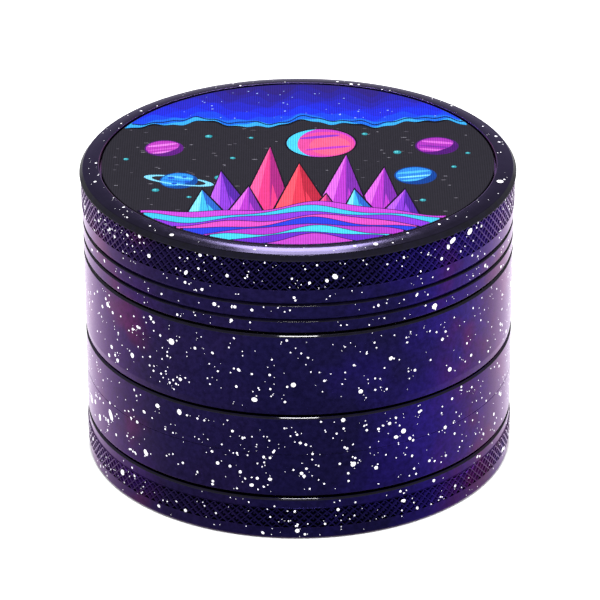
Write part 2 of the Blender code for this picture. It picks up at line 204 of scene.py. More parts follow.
class Turning:
    """A turned piece while it is made: rings of points, each joined to the one before.

    The outline starts at the top, goes outward and down outside, and comes back inside.
    """

    def __init__(self, columns):
        self.columns = columns
        self.points = []
        self.faces = []
        self.finishes = []
        self.shift = 0.0
        self.first = None
        self.last = None
        self.place = None

    def turn(self):
        """Each column's share of a full turn."""
        return (np.arange(self.columns) + self.shift) / self.columns

    def add_point(self, share, radius, level):
        angle = math.tau * share
        self.points.append((radius * math.cos(angle), radius * math.sin(angle), level))
        return len(self.points) - 1

    def add_face(self, corners, finish):
        self.faces.append(corners)
        self.finishes.append(finish)

    def ring(self, radius, level):
        radii = np.broadcast_to(radius, self.columns)
        made = [self.add_point(*spot, level) for spot in zip(self.turn(), radii)]
        self.last = made
        self.place = (float(radii[0]), level)
        return made

    def go(self, rows):
        """Goes on through rows of (radius, level, finish). A radius may differ between columns."""
        for radius, level, finish in rows:
            if self.place and np.ndim(radius) == 0 and math.dist(self.place, (radius, level)) < 1e-6:
                continue
            before = self.last
            made = self.ring(radius, level)
            if before is None:
                self.first = made
                continue
            for i in range(self.columns):
                j = (i + 1) % self.columns
                self.add_face((before[i], made[i], made[j], before[j]), finish)

    def follow(self, *corners):
        """Goes on along an outline with rounded corners."""
        self.go(soften(corners))

    def cap_start(self, finish):
        self.add_face(tuple(self.first), finish)

    def cap_end(self, finish):
        self.add_face(tuple(reversed(self.last)), finish)

    def close(self, finish):
        """Joins the last ring to the first."""
        for i in range(self.columns):
            j = (i + 1) % self.columns
            self.add_face((self.last[i], self.first[i], self.first[j], self.last[j]), finish)

    def knurl(self, radius, bottom, half_rows, depth):
        """Diamond pits between raised lines, from the last ring down, each row half a pitch aside."""
        top = self.place[1]
        rings = [self.last]
        places = [self.turn()]
        levels = [top - (top - bottom) * row / half_rows for row in range(half_rows + 1)]
        for row in range(1, half_rows + 1):
            self.shift += 0.5 if row % 2 else -0.5
            places.append(self.turn())
            rings.append(self.ring(radius, levels[row]))

        def corner(row, column):
            share = places[row][column % self.columns]
            if column != column % self.columns:
                share += 1.0 if column > 0 else -1.0
            return rings[row][column % self.columns], share, levels[row]

        for row in range(half_rows + 1):
            # The left corner's column in this row, for the pit in column 0
            aside = 0 if row % 2 == 0 else -1
            for column in range(self.columns):
                left = corner(row, column + aside)
                right = corner(row, column + aside + 1)
                outline = [left]
                if row < half_rows:
                    outline.append(corner(row + 1, column))
                outline.append(right)
                if row > 0:
                    outline.append(corner(row - 1, column))
                self.pit(outline, radius, depth)

    def pit(self, outline, radius, depth):
        """One pit: a raised border, sloping sides and a small flat bottom."""
        middle_share = sum(share for _, share, _ in outline) / len(outline)
        middle_level = sum(level for _, _, level in outline) / len(outline)
        before = [index for index, _, _ in outline]
        for size, sunk in ((0.8, 0.04), (0.3, 1.0)):
            inner = [
                self.add_point(
                    middle_share + (share - middle_share) * size,
                    radius - depth * sunk,
                    middle_level + (level - middle_level) * size,
                )
                for _, share, level in outline
            ]
            for i in range(len(outline)):
                j = (i + 1) % len(outline)
                self.add_face((before[i], before[j], inner[j], inner[i]), ENAMEL)
            before = inner
        self.add_face(tuple(before), ENAMEL)

    def thread(self, top, bottom, root, crest, ridge_level, inside=False):
        """Rows of a screw thread. Its ridge climbs THREAD_PITCH in a turn and fades at both ends."""
        step = 0.1
        fade_length = 0.5
        count = round((top - bottom) / step)
        levels = np.linspace(bottom, top, count + 1) if inside else np.linspace(top, bottom, count + 1)
        for level in levels:
            phase = ((level - ridge_level) / THREAD_PITCH - self.turn() + 0.5) % 1.0 - 0.5
            beside = np.abs(phase) * THREAD_PITCH
            lift = np.clip((RIDGE_ROOT_HALF - beside) / (RIDGE_ROOT_HALF - RIDGE_CREST_HALF), 0.0, 1.0)
            lift = lift * lift * (3 - 2 * lift)
            fade = min(1.0, (level - bottom) / fade_length, (top - level) / fade_length)
            yield root + (crest - root) * lift * max(fade, 0.0), float(level), BLACK

    def sleeve_thread(self, top, bottom, end):
        """The thread outside a sleeve, whose free end is at a level."""
        self.go(self.thread(top, bottom, SLEEVE_ROOT, SLEEVE_CREST, end + FIRST_RIDGE))

    def socket_thread(self, top, bottom, end):
        """The thread inside a socket, half a pitch above that of the sleeve whose end is at a level."""
        ridge_level = end + FIRST_RIDGE + THREAD_PITCH / 2
        self.go(self.thread(top, bottom, SOCKET_ROOT, SOCKET_CREST, ridge_level, inside=True))


def soften(corners, closed=False):
    """Rows of an outline with rounded corners.

    A corner is (radius, level, how far it is rounded, finish after it).
    """
    rows = []
    finish = corners[-1][3] if closed else corners[0][3]
    for i, (radius, level, softness, next_finish) in enumerate(corners):
        here = Vector((radius, level))
        if softness == 0.0:
            rows.append((radius, level, finish))
            finish = next_finish
            continue
        back = Vector(corners[i - 1][:2]) - here
        on = Vector(corners[(i + 1) % len(corners)][:2]) - here
        reach = min(softness, 0.4 * back.length, 0.4 * on.length)
        start = here + back.normalized() * reach
        end = here + on.normalized() * reach
        if back.length > 4 * reach:
            rows.append((*(here + back.normalized() * reach * 2), finish))
        for share in (0.0, 1 / 3, 2 / 3, 1.0):
            spot = start * (1 - share) ** 2 + here * 2 * share * (1 - share) + end * share**2
            rows.append((*spot, finish))
        finish = next_finish
        if on.length > 4 * reach:
            rows.append((*(here + on.normalized() * reach * 2), finish))
    return rows


def new_object(name, data):
    made = bpy.data.objects.new(name, data)
    bpy.context.scene.collection.objects.link(made)
    return made


def smooth(mesh):
    """Smooth shading up to the sharp edges."""
    mesh.shade_smooth()
    mesh.set_sharp_from_angle(angle=SHARP_ANGLE)


def new_piece(name, mesh, finishes):
    """An object with its finishes and its shading."""
    for finish in finishes:
        mesh.materials.append(finish)
    smooth(mesh)
    return new_object(name, mesh)


def turned_piece(name, turning, finishes):
    mesh = bpy.data.meshes.new(name)
    mesh.from_pydata((np.array(turning.points) * MM).tolist(), [], turning.faces)
    mesh.polygons.foreach_set("material_index", turning.finishes)
    return new_piece(name, mesh, finishes)


def on_frame(piece, body, slot, *nodes):
    """Puts a piece on its body and hides the frame nodes that it stands for. Its finish's slot is not used.
    """
    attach(piece, body)
    if nodes:
        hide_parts(*nodes)


def tooth_rings():
    room = COLLAR_BORE - POST_RADIUS
    return [POST_RADIUS + room * (i + 0.5) / TOOTH_RINGS for i in range(TOOTH_RINGS)]


def around(radius, spacing):
    """Angles of the most items that fit on a circle at a spacing."""
    count = int(math.tau * radius / spacing)
    return [math.tau * i / count for i in range(count)]


def teeth(radii, root_level, tip_level):
    """Diamond teeth in circles, with rounded edges, each sunk a little into its plate."""
    sunk = 0.3
    edge_width = 0.16
    shape = bmesh.new()
    height = abs(tip_level - root_level) + sunk
    upward = tip_level > root_level
    middle = tip_level - height / 2 if upward else tip_level + height / 2
    for radius in radii:
        for angle in around(radius, TOOTH_SPACING):
            place = (
                Matrix.Rotation(angle, 4, "Z")
                @ Matrix.Translation((radius, 0.0, middle))
                @ Matrix.Diagonal((TOOTH_WIDTH / 2, TOOTH_LENGTH / 2, 1.0, 1.0))
            )
            bmesh.ops.create_cone(
                shape,
                cap_ends=True,
                segments=4,
                radius1=1.0 if upward else TOOTH_TIP_SHARE,
                radius2=TOOTH_TIP_SHARE if upward else 1.0,
                depth=height,
                matrix=place,
            )
    bmesh.ops.bevel(
        shape,
        geom=shape.edges[:],
        offset=edge_width,
        offset_type="OFFSET",
        segments=2,
        profile=0.5,
        affect="EDGES",
    )
    return tool_from(shape)


def drop_holes(radii):
    """Cutters for the round holes in the chamber's floor, which end just above it."""
    shape = bmesh.new()
    above = 0.3
    middle = (floor_top + floor_underside) / 2
    for radius in radii:
        for angle in around(radius, HOLE_SPACING):
            turn = Matrix.Rotation(angle, 4, "Z")
            bmesh.ops.create_cone(
                shape,
                cap_ends=True,
                segments=28,
                radius1=HOLE_RADIUS,
                radius2=HOLE_RADIUS,
                depth=FLOOR_THICKNESS * 2,
                matrix=turn @ Matrix.Translation((radius, 0.0, middle)),
            )
    for vertex in shape.verts:
        if vertex.co.z > floor_top:
            vertex.co.z = floor_top + above
    return tool_from(shape)


def tool_from(shape):
    """An object for a Boolean, from a shape in millimetres. Its faces all get the black finish."""
    bmesh.ops.scale(shape, vec=(MM, MM, MM), verts=shape.verts)
    mesh = bpy.data.meshes.new("tool")
    shape.to_mesh(mesh)
    shape.free()
    mesh.polygons.foreach_set("material_index", [BLACK] * len(mesh.polygons))
    return new_object("tool", mesh)


def work(piece, jobs):
    """Joins or cuts a piece with tools, then removes the tools."""
    finishes = list(piece.data.materials)
    for tool, operation in jobs:
        for finish in finishes:
            tool.data.materials.append(finish)
        modifier = piece.modifiers.new(operation, "BOOLEAN")
        modifier.operation = operation
        modifier.object = tool
    graph = bpy.context.evaluated_depsgraph_get()
    mesh = bpy.data.meshes.new_from_object(piece.evaluated_get(graph))
    piece.modifiers.clear()
    piece.data = mesh
    smooth(mesh)
    for tool, _ in jobs:
        bpy.data.objects.remove(tool)


# Materials


def add(tree, kind, inputs=None, stops=None, **settings):
    """Adds a node with its settings. An input is a value or a socket to link, and stops are a ramp's."""
    made = tree.nodes.new(kind)
    for name, value in settings.items():
        setattr(made, name, value)
    for name, value in (inputs or {}).items():
        if isinstance(value, bpy.types.NodeSocket):
            tree.links.new(value, made.inputs[name])
        else:
            made.inputs[name].default_value = value
    if stops:
        ramp = made.color_ramp
        while len(ramp.elements) < len(stops):
            ramp.elements.new(1.0)
        for element, (place, colour) in zip(ramp.elements, stops):
            element.position = place
            element.color = (*colour, 1.0)
    return made


def start_material(name, **shader_values):
    """A material with its tree, shader and object coordinates. Values go on the shader's own sockets."""
    made = bpy.data.materials.new(name)
    made.use_nodes = True
    tree = made.node_tree
    shader = tree.nodes["Principled BSDF"]
    for key, value in shader_values.items():
        shader.inputs[key.replace("_", " ")].default_value = value
    coordinates = add(tree, "ShaderNodeTexCoord").outputs["Object"]
    return made, tree, shader, coordinates


def turned_lines(tree, shader, place, pitch, height, strength):
    """Bump of the fine lines that a lathe tool leaves round a piece, on its walls and on its flats."""
    level = add(tree, "ShaderNodeSeparateXYZ", {0: place}).outputs["Z"]
    flat = add(tree, "ShaderNodeVectorMath", {0: place, 1: (1.0, 1.0, 0.0)}, operation="MULTIPLY")
    radius = add(tree, "ShaderNodeVectorMath", {0: flat.outputs[0]}, operation="LENGTH").outputs["Value"]
    travel = add(tree, "ShaderNodeMath", {0: level, 1: radius}, operation="ADD")
    along = add(tree, "ShaderNodeCombineXYZ", {0: travel.outputs[0]}).outputs[0]
    values = {"Vector": along, "Scale": 1.0 / (pitch * MM), "Detail": 2.0, "Roughness": 0.6}
    lines = add(tree, "ShaderNodeTexNoise", values).outputs[0]
    relief = add(tree, "ShaderNodeBump", {"Height": lines, "Strength": strength, "Distance": height * MM})
    tree.links.new(relief.outputs[0], shader.inputs["Normal"])


def vary(tree, shader, place, size, detail, gloss=None, base=None, shades=None, stops=None, ends=(0.3, 0.7)):
    """Varies a finish over noise whose grains have a size in millimetres, and gives the noise.

    The base colour is scaled between two shades, which it reaches at the noise's ends, or runs through a
    ramp's stops. Gloss is the roughness at 0.3 and at 0.7 of the noise.
    """
    values = {"Vector": place, "Scale": 1.0 / (size * MM), "Detail": detail, "Roughness": 0.6}
    grain = add(tree, "ShaderNodeTexNoise", values).outputs[0]
    if stops:
        colour = add(tree, "ShaderNodeValToRGB", {0: grain}, stops=stops)
    else:
        values = {0: grain, 1: ends[0], 2: ends[1], 3: shades[0], 4: shades[1]}
        scale = add(tree, "ShaderNodeMapRange", values).outputs[0]
        colour = add(tree, "ShaderNodeVectorMath", {0: base, "Scale": scale}, operation="SCALE")
    tree.links.new(colour.outputs[0], shader.inputs["Base Color"])
    if gloss:
        roughness = add(tree, "ShaderNodeMapRange", {0: grain, 1: 0.3, 2: 0.7, 3: gloss[0], 4: gloss[1]})
        tree.links.new(roughness.outputs[0], shader.inputs["Roughness"])
    return grain


def night_sky_enamel(colours):
    """Sprayed metallic enamel. It is deep blue seen straight on and goes nearly white at a glance, as a
    thin coloured coat over bright metal does. Violet towards the ±X sides and navy at the front and back are
    painted sheen; magenta cloud patches of the spray lie only at the sides, adding to it."""
    made, tree, shader, place = start_material("sprayed_metallic_enamel", Metallic=1.0)
    shader.inputs["Specular Tint"].default_value = (*linear("#f8e6ff"), 1.0)
    flat = add(tree, "ShaderNodeVectorMath", {0: place, 1: (1.0, 1.0, 0.0)}, operation="MULTIPLY")
    unit = add(tree, "ShaderNodeVectorMath", {0: flat.outputs[0]}, operation="NORMALIZE")
    x = add(tree, "ShaderNodeSeparateXYZ", {0: unit.outputs[0]}).outputs["X"]
    side = add(tree, "ShaderNodeMath", {0: x, 1: x}, operation="MULTIPLY")
    turned = add(tree, "ShaderNodeMath", {0: x, 1: 0.5, 2: 0.5}, operation="MULTIPLY_ADD")

    cloud_size = 16.0
    clouds = add(
        tree,
        "ShaderNodeTexNoise",
        {"Vector": place, "Scale": 1.0 / (cloud_size * MM), "Detail": 3.0, "Roughness": 0.55},
    )
    drift = add(tree, "ShaderNodeMath", {0: clouds.outputs[0], 1: 0.5, 2: -0.25}, operation="MULTIPLY_ADD")
    spread = add(tree, "ShaderNodeMath", {0: turned.outputs[0], 1: drift.outputs[0]}, operation="ADD")
    # Painted sheen: navy at the front and back, turning to violet towards the ±X sides, for the violet that
    # the enamel shows towards its edges.
    base = add(
        tree,
        "ShaderNodeValToRGB",
        {0: spread.outputs[0]},
        stops=[
            (0.0, tuple(colours.violet)),
            (0.1, linear("#1e0d3c")),
            (0.22, linear("#16102f")),
            (0.4, tuple(colours.navy)),
            (0.62, tuple(colours.navy)),
            (0.82, tuple(colours.indigo)),
            (0.93, linear("#200f4e")),
            (1.0, tuple(colours.violet)),
        ],
    )
    # Magenta cloud patches, kept to the ±X sides as part of the painted sheen.
    patch_size = 9.0
    patches = add(
        tree,
        "ShaderNodeTexNoise",
        {"Vector": place, "Scale": 1.0 / (patch_size * MM), "Detail": 2.0, "Roughness": 0.5},
    )
    seen = add(
        tree,
        "ShaderNodeMapRange",
        {0: patches.outputs[0], 1: 0.48, 2: 0.72, 3: 0.0, 4: 1.0},
        interpolation_type="SMOOTHSTEP",
    )
    painted_sheen_sides = add(
        tree,
        "ShaderNodeMapRange",
        {0: side.outputs[0], 1: 0.3, 2: 0.7, 3: 0.0, 4: 0.75},
        interpolation_type="SMOOTHSTEP",
    )
    share = add(tree, "ShaderNodeMath", {0: seen.outputs[0], 1: painted_sheen_sides.outputs[0]}, operation="MULTIPLY")
    clouds_and_painted_sheen = add(
        tree,
        "ShaderNodeMix",
        {0: share.outputs[0], 6: base.outputs[0], 7: (*colours.magenta, 1.0)},
        data_type="RGBA",
    )
    grain_size = 0.7
    grain = add(
        tree,
        "ShaderNodeTexNoise",
        {"Vector": place, "Scale": 1.0 / (grain_size * MM), "Detail": 2.0, "Roughness": 0.6},
    )
    depth = add(tree, "ShaderNodeMapRange", {0: grain.outputs[0], 1: 0.3, 2: 0.7, 3: 0.72, 4: 1.3})
    mottled = add(
        tree,
        "ShaderNodeVectorMath",
        {0: clouds_and_painted_sheen.outputs[2], "Scale": depth.outputs[0]},
        operation="SCALE",
    )
    tree.links.new(mottled.outputs[0], shader.inputs["Base Color"])
    gloss = add(tree, "ShaderNodeMapRange", {0: grain.outputs[0], 1: 0.3, 2: 0.7, 3: 0.16, 4: 0.22})
    tree.links.new(gloss.outputs[0], shader.inputs["Roughness"])
    # The feed lines are drawn 0.3 mm apart. Real ones are about 0.1 mm, which wouldn't show.
    turned_lines(tree, shader, place, pitch=0.3, height=0.004, strength=0.5)
    return made


def rim_enamel(colours):
    """The same enamel on a flat that was faced on the lathe: smoother, with faint rings, and painted greyer
    than the walls as a painted reflection of the up-facing flat.
    """
    made, tree, shader, place = start_material("faced_enamel", Metallic=1.0)
    shader.inputs["Specular Tint"].default_value = (*linear("#ccc8d9"), 1.0)
    vary(tree, shader, place, 2.5, 3.0, (0.12, 0.17), tuple(colours.rim), (0.85, 1.12))
    turned_lines(tree, shader, place, pitch=0.25, height=0.002, strength=0.2)
    return made


def edge_enamel():
    """Enamel and lacquer on turned edges that face up, painted nearly black as painted shade, with a thin
    glassy skin.
    """
    made, tree, shader, place = start_material(
        "edge_enamel_painted_shade", Specular_IOR_Level=0.0, Coat_Weight=0.22, Coat_Roughness=0.06
    )
    # Painted shade: nearly black, for turned edges that face up.
    stops = [(0.3, linear("#07060d")), (0.7, linear("#0e0b1c"))]
    vary(tree, shader, place, 1.2, 3.0, (0.22, 0.32), stops=stops)
    turned_lines(tree, shader, place, pitch=0.3, height=0.002, strength=0.3)
    return made


def black_anodised(colours):
    """Black anodised aluminium, as turned: a dark satin metal with a soft gleam across its feed lines."""
    made, tree, shader, place = start_material("black_anodised_aluminium", Metallic=0.85)
    vary(tree, shader, place, 4.0, 4.0, (0.3, 0.42), tuple(colours.anodised), (0.8, 1.35))
    turned_lines(tree, shader, place, pitch=0.3, height=0.01, strength=0.5)
    return made


def metal(name, code, rough, pitch):
    """Bare metal with the lines of its making at a pitch in millimetres."""
    made, tree, shader, place = start_material(name, Metallic=1.0)
    vary(tree, shader, place, 3.0, 3.0, (rough * 0.8, rough * 1.2), linear(code), (0.88, 1.05))
    turned_lines(tree, shader, place, pitch=pitch, height=0.004, strength=0.4)
    return made


def moulded_nylon():
    """Natural nylon, moulded: milky, slightly waxy, with a faint grain."""
    made, tree, shader, place = start_material("moulded_nylon", IOR=1.53, Subsurface_Weight=0.15)
    shader.inputs["Subsurface Radius"].default_value = (0.002, 0.0018, 0.0015)
    shader.inputs["Subsurface Scale"].default_value = 1.0
    stops = [(0.3, linear("#dcd8cc")), (0.7, linear("#ebe8df"))]
    grain = vary(tree, shader, place, 1.5, 3.0, (0.4, 0.52), stops=stops)
    relief = add(tree, "ShaderNodeBump", {"Height": grain, "Strength": 0.3, "Distance": 0.02 * MM})
    tree.links.new(relief.outputs[0], shader.inputs["Normal"])
    return made


def thrown_droplets(colours):
    """White acrylic paint, thrown in droplets: opaque, satin, a little thinner and greyer here and there."""
    made, tree, shader, place = start_material("thrown_acrylic_paint", Roughness=0.45, IOR=1.48)
    vary(tree, shader, place, 1.1, 2.0, base=tuple(colours.droplet), shades=(0.7, 1.0), ends=(0.25, 0.5))
    return made


def printed_sheet(name, colour, wanted_attribute=None):
    """Lens sheet: polyester moulded in fine parallel ribs, printed behind, with a dull satin face.
    The ribs give it its fine upright lines."""
    made, tree, shader, place = start_material(name, Roughness=0.6, IOR=1.4, Specular_IOR_Level=0.01)
    rib_pitch = 0.34
    wave_period = math.tau / 20  # Blender's band wave, at scale 1
    ribs = add(
        tree,
        "ShaderNodeTexWave",
        {"Vector": place, "Scale": wave_period / (rib_pitch * MM), "Distortion": 0.0},
        bands_direction="X",
    )
    streaks = add(
        tree,
        "ShaderNodeTexNoise",
        {"Vector": place, "Scale": 1.0 / (0.9 * MM), "Detail": 2.0, "Roughness": 0.6},
    )
    rib_shade = add(tree, "ShaderNodeMapRange", {0: ribs.outputs["Fac"], 1: 0.0, 2: 1.0, 3: 0.48, 4: 0.76})
    grain_shade = add(tree, "ShaderNodeMapRange", {0: streaks.outputs[0], 1: 0.3, 2: 0.7, 3: 0.93, 4: 1.07})
    shade = add(
        tree, "ShaderNodeMath", {0: rib_shade.outputs[0], 1: grain_shade.outputs[0]}, operation="MULTIPLY"
    )
    source = colour
    if wanted_attribute:
        source = add(tree, "ShaderNodeAttribute", attribute_name=wanted_attribute).outputs["Color"]
    shown = add(tree, "ShaderNodeVectorMath", {0: source, "Scale": shade.outputs[0]}, operation="SCALE")
    tree.links.new(shown.outputs[0], shader.inputs["Base Color"])
    relief = add(
        tree, "ShaderNodeBump", {"Height": ribs.outputs["Fac"], "Strength": 0.25, "Distance": 0.01 * MM}
    )
    tree.links.new(relief.outputs[0], shader.inputs["Normal"])
    return made


def finish_named(name):
    """A material that an earlier operator made, or a plain failure that says so."""
    found = bpy.data.materials.get(name)
    if found is None:
        raise RuntimeError(f"the finish {name} is missing: run Finishes first")
    return found


def shell_finishes():
    names = ("sprayed_metallic_enamel", "black_anodised_aluminium", "faced_enamel", "edge_enamel_painted_shade")
    return [finish_named(name) for name in names]


# Shells


def make_lid(sizes):
    """The knurled lid, with its faced rim, its two grooves, its teeth and the post for its magnet."""
    shell = Turning(sizes.knurl_count)
    crown = 0.24  # fall of the rim from its inner edge to its outer one
    rim_top = lid_top - 0.05  # leaves room for paint droplets
    recess_floor = lid_top - RECESS_DEPTH
    knurl_top, knurl_bottom = lid_knurl
    shell.follow(
        (CORE_RADIUS, recess_floor, 0.0, ENAMEL),
        (RECESS_RADIUS, recess_floor, 0.1, ENAMEL),
        # The rim's flat takes the enamel painted greyer, and its slope the enamel painted nearly black.
        (RECESS_RADIUS, rim_top, 0.12, RIM),
        (RECESS_RADIUS + RIM_FLAT / 3, rim_top - crown * 0.1, 0.2, RIM),
        (RECESS_RADIUS + RIM_FLAT * 2 / 3, rim_top - crown * 0.45, 0.2, RIM),
        (RECESS_RADIUS + RIM_FLAT + 0.3, rim_top - crown - 0.06, 0.06, EDGE_ENAMEL),
        (rim_radius, lid_top - 1.0, 0.1, EDGE_ENAMEL),
        (rim_radius, lid_top - 1.14, 0.04, EDGE_ENAMEL),
        (body_radius + KNURL_LIFT, knurl_top, 0.0, ENAMEL),
    )
    shell.knurl(body_radius + KNURL_LIFT, knurl_bottom, 7, sizes.knurl_depth / MM)
    wall_rows = [
        (body_radius + KNURL_LIFT, knurl_bottom, 0.0, ENAMEL),
        (body_radius, knurl_bottom - 0.06, 0.04, ENAMEL),
    ]
    half = sizes.groove_width / MM / 2
    groove_floor = body_radius - sizes.groove_depth / MM
    for level in groove_levels:
        wall_rows += [
            (body_radius, level + half, 0.07, ENAMEL),
            (groove_floor, level + half, 0.1, ENAMEL),
            (groove_floor, level - half, 0.1, EDGE_ENAMEL),
            (body_radius, level - half - EDGE, 0.07, ENAMEL),
        ]
    wall_rows += [
        (body_radius, lid_bottom + EDGE, 0.07, ENAMEL),
        (body_radius - EDGE, lid_bottom, 0.07, BLACK),
        (SKIRT_BORE, lid_bottom, 0.15, BLACK),
        (SKIRT_BORE, plate_underside, 0.5, BLACK),
        (POST_RADIUS, plate_underside, 0.5, BLACK),
        (POST_RADIUS, post_meeting + POST_HALF_GAP, 0.25, BLACK),
        (POCKET_RADIUS, post_meeting + POST_HALF_GAP, 0.1, BLACK),
        (POCKET_RADIUS, post_meeting + POST_HALF_GAP + POCKET_DEPTH, 0.1, BLACK),
        (CORE_RADIUS, post_meeting + POST_HALF_GAP + POCKET_DEPTH, 0.0, BLACK),
    ]
    shell.follow(*wall_rows)
    shell.cap_start(ENAMEL)
    shell.cap_end(BLACK)
    lid = turned_piece("lid_shell", shell, shell_finishes())
    work(lid, [(teeth(tooth_rings()[0::2], plate_underside, lid_tooth_tip), "UNION")])
    on_frame(lid, "lid", "speckled_enamel", "lid")


def make_grinding_chamber(sizes):
    """The toothed floor and its drop holes, the collar that the lid turns on, and the threaded sleeve."""
    shell = Turning(sizes.knurl_count)
    post_top = post_meeting - POST_HALF_GAP
    relief_depth = 0.12
    sleeve_thread_top = chamber_bottom - EDGE
    sleeve_thread_bottom = chamber_sleeve_end + EDGE
    shell.follow(
        (CORE_RADIUS, post_top - POCKET_DEPTH, 0.0, BLACK),
        (POCKET_RADIUS, post_top - POCKET_DEPTH, 0.1, BLACK),
        (POCKET_RADIUS, post_top, 0.1, BLACK),
        (POST_RADIUS, post_top, 0.25, BLACK),
        (POST_RADIUS, floor_top, 0.5, BLACK),
        (COLLAR_BORE, floor_top, 0.6, BLACK),
        (COLLAR_BORE, collar_top, 0.3, BLACK),
        (COLLAR_RADIUS, collar_top, 0.4, BLACK),
        (COLLAR_RADIUS, chamber_top, 0.12, BLACK),
        (body_radius - EDGE, chamber_top, 0.07, EDGE_ENAMEL),
        (body_radius, chamber_top - EDGE, 0.07, ENAMEL),
        (body_radius, chamber_bottom + CHAMBER_RELIEF, 0.1, ENAMEL),
        (body_radius - relief_depth, chamber_bottom + 0.12, 0.05, ENAMEL),
        (body_radius - EDGE, chamber_bottom, 0.05, BLACK),
        (SLEEVE_ROOT, chamber_bottom, 0.1, BLACK),
        (SLEEVE_ROOT, sleeve_thread_top, 0.0, BLACK),
    )
    shell.sleeve_thread(sleeve_thread_top, sleeve_thread_bottom, chamber_sleeve_end)
    shell.follow(
        (SLEEVE_ROOT, sleeve_thread_bottom, 0.0, BLACK),
        (SLEEVE_ROOT - EDGE, chamber_sleeve_end, 0.07, BLACK),
        (SLEEVE_BORE, chamber_sleeve_end, 0.2, BLACK),
        (SLEEVE_BORE, floor_underside, 0.5, BLACK),
        (CORE_RADIUS, floor_underside, 0.0, BLACK),
    )
    shell.cap_start(BLACK)
    shell.cap_end(BLACK)
    chamber = turned_piece("grinding_chamber_shell", shell, shell_finishes())
    rings = tooth_rings()
    work(
        chamber,
        [
            (drop_holes(rings[0::2]), "DIFFERENCE"),
            (teeth(rings[1::2], floor_top, chamber_tooth_tip), "UNION"),
        ],
    )
    on_frame(chamber, "chamber", "speckled_enamel", "grinding_chamber")


def make_storage_chamber(sizes):
    """The open tube with a ledge for the screen, a socket above and a sleeve below."""
    shell = Turning(sizes.knurl_count)
    scribe_level = (storage_bottom + storage_top) / 2 + 0.4
    scribe_half, scribe_depth = 0.06, 0.05
    ledge = storage_bottom + 1.2
    socket_floor = chamber_sleeve_end - SOCKET_ROOM
    socket_thread_top = storage_top - EDGE
    sleeve_thread_top = storage_bottom - EDGE
    sleeve_thread_bottom = storage_sleeve_end + EDGE
    shell.follow(
        (30.4, storage_top, 0.0, ENAMEL),
        (body_radius - EDGE, storage_top, 0.07, EDGE_ENAMEL),
        (body_radius, storage_top - EDGE, 0.07, ENAMEL),
        (body_radius, scribe_level + scribe_half, 0.02, ENAMEL),
        (body_radius - scribe_depth, scribe_level, 0.02, ENAMEL),
        (body_radius, scribe_level - scribe_half, 0.02, ENAMEL),
        (body_radius, storage_bottom + EDGE, 0.07, ENAMEL),
        (body_radius - EDGE, storage_bottom, 0.07, BLACK),
        (SLEEVE_ROOT, storage_bottom, 0.1, BLACK),
        (SLEEVE_ROOT, sleeve_thread_top, 0.0, BLACK),
    )
    shell.sleeve_thread(sleeve_thread_top, sleeve_thread_bottom, storage_sleeve_end)
    shell.follow(
        (SLEEVE_ROOT, sleeve_thread_bottom, 0.0, BLACK),
        (SLEEVE_ROOT - EDGE, storage_sleeve_end, 0.07, BLACK),
        (SLEEVE_BORE, storage_sleeve_end, 0.2, BLACK),
        (SLEEVE_BORE, ledge, 0.2, BLACK),
        (PLAIN_BORE, ledge, 0.1, BLACK),
        (PLAIN_BORE, socket_floor, 0.1, BLACK),
        (SOCKET_ROOT, socket_floor, 0.1, BLACK),
        (SOCKET_ROOT, socket_floor + SOCKET_RELIEF, 0.0, BLACK),
    )
    shell.socket_thread(socket_thread_top, socket_floor + SOCKET_RELIEF, chamber_sleeve_end)
    shell.go([(SOCKET_ROOT + EDGE, storage_top, BLACK)])
    shell.close(ENAMEL)
    storage = turned_piece("storage_chamber_shell", shell, shell_finishes())
    on_frame(storage, "storage", "speckled_enamel", "storage_chamber")


def make_catcher(sizes):
    """The shallow bowl at the bottom, knurled outside, with a socket for the storage chamber."""
    shell = Turning(sizes.knurl_count)
    floor = 1.5
    socket_floor = storage_sleeve_end - SOCKET_ROOM
    socket_thread_top = catcher_top - EDGE
    knurl_top, knurl_bottom = CATCHER_KNURL
    shell.follow(
        (CORE_RADIUS, floor, 0.0, BLACK),
        (PLAIN_BORE, floor, 0.7, BLACK),
        (PLAIN_BORE, socket_floor, 0.1, BLACK),
        (SOCKET_ROOT, socket_floor, 0.1, BLACK),
        (SOCKET_ROOT, socket_floor + SOCKET_RELIEF, 0.0, BLACK),
    )
    shell.socket_thread(socket_thread_top, socket_floor + SOCKET_RELIEF, storage_sleeve_end)
    shell.follow(
        (SOCKET_ROOT, socket_thread_top, 0.0, BLACK),
        (SOCKET_ROOT + EDGE, catcher_top, 0.07, ENAMEL),
        (body_radius - EDGE, catcher_top, 0.07, EDGE_ENAMEL),
        (body_radius, catcher_top - EDGE, 0.07, ENAMEL),
        (body_radius, knurl_top + 0.06, 0.04, ENAMEL),
        (body_radius + KNURL_LIFT, knurl_top, 0.0, ENAMEL),
    )
    shell.knurl(body_radius + KNURL_LIFT, knurl_bottom, 5, sizes.knurl_depth / MM)
    shell.follow(
        (body_radius + KNURL_LIFT, knurl_bottom, 0.0, ENAMEL),
        (body_radius, knurl_bottom - 0.06, 0.04, ENAMEL),
        (body_radius, 0.35, 0.15, ENAMEL),
        (body_radius - 0.35, 0.0, 0.15, ENAMEL),
        (CORE_RADIUS, 0.0, 0.0, ENAMEL),
    )
    shell.cap_start(BLACK)
    shell.cap_end(ENAMEL)
    catcher = turned_piece("catcher_shell", shell, shell_finishes())
    on_frame(catcher, "catcher", "speckled_enamel", "catcher")


# Small pieces


def plain_turned(name, corners, finish, closed=False, columns=96):
    """A turned piece with one finish, from (radius, level, softness) corners."""
    shell = Turning(columns)
    shell.go(soften([(*corner, 0) for corner in corners], closed))
    if closed:
        shell.close(0)
    else:
        shell.cap_start(0)
        shell.cap_end(0)
    return turned_piece(name, shell, [finish])


